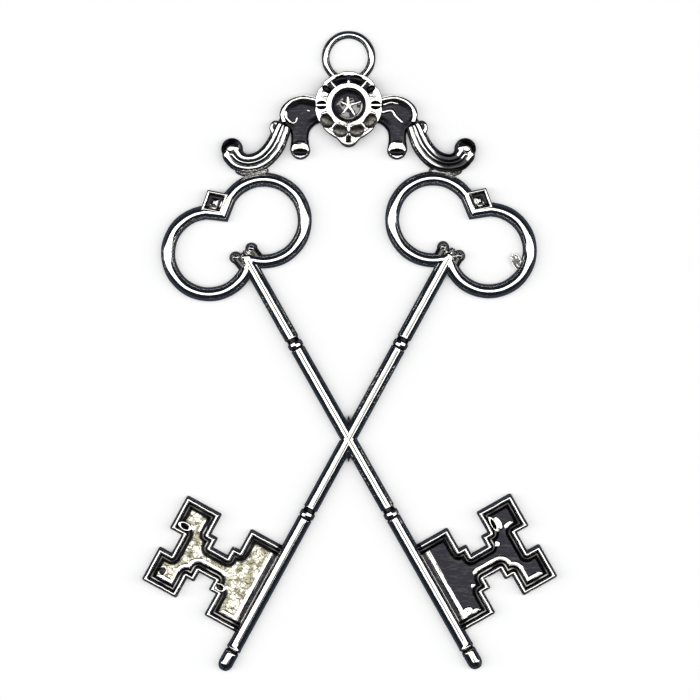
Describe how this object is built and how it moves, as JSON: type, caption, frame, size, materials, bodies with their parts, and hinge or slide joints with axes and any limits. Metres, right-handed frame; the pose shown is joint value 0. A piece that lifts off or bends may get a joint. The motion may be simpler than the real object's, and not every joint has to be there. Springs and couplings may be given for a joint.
{
  "type": "lodge officer's jewel",
  "caption": "Flat lodge officer's jewel: crossed keys with looped bows and stepped bits under a scrolled arch with a rosette and a hanging ring.",
  "frame": {"origin": "middle of the outline, on the flat back that the jewel lies on", "axes": "+Z out of the face, +Y along the jewel towards the hanging ring, +X to the right as seen from the front"},
  "size_m": [0.052, 0.0802, 0.0026],
  "materials": {
    "plated_frame": "bright plated casting, grey in the hollows",
    "plated_rosette": "bright plated, dark between the petals",
    "dark_stud": "dulled plating, bright on the star"
  },
  "bodies": {
    "root": {"crossed_keys_frame": "plated_frame", "rosette": "plated_rosette", "rosette_stud": "dark_stud"}
  },
  "joints": []
}
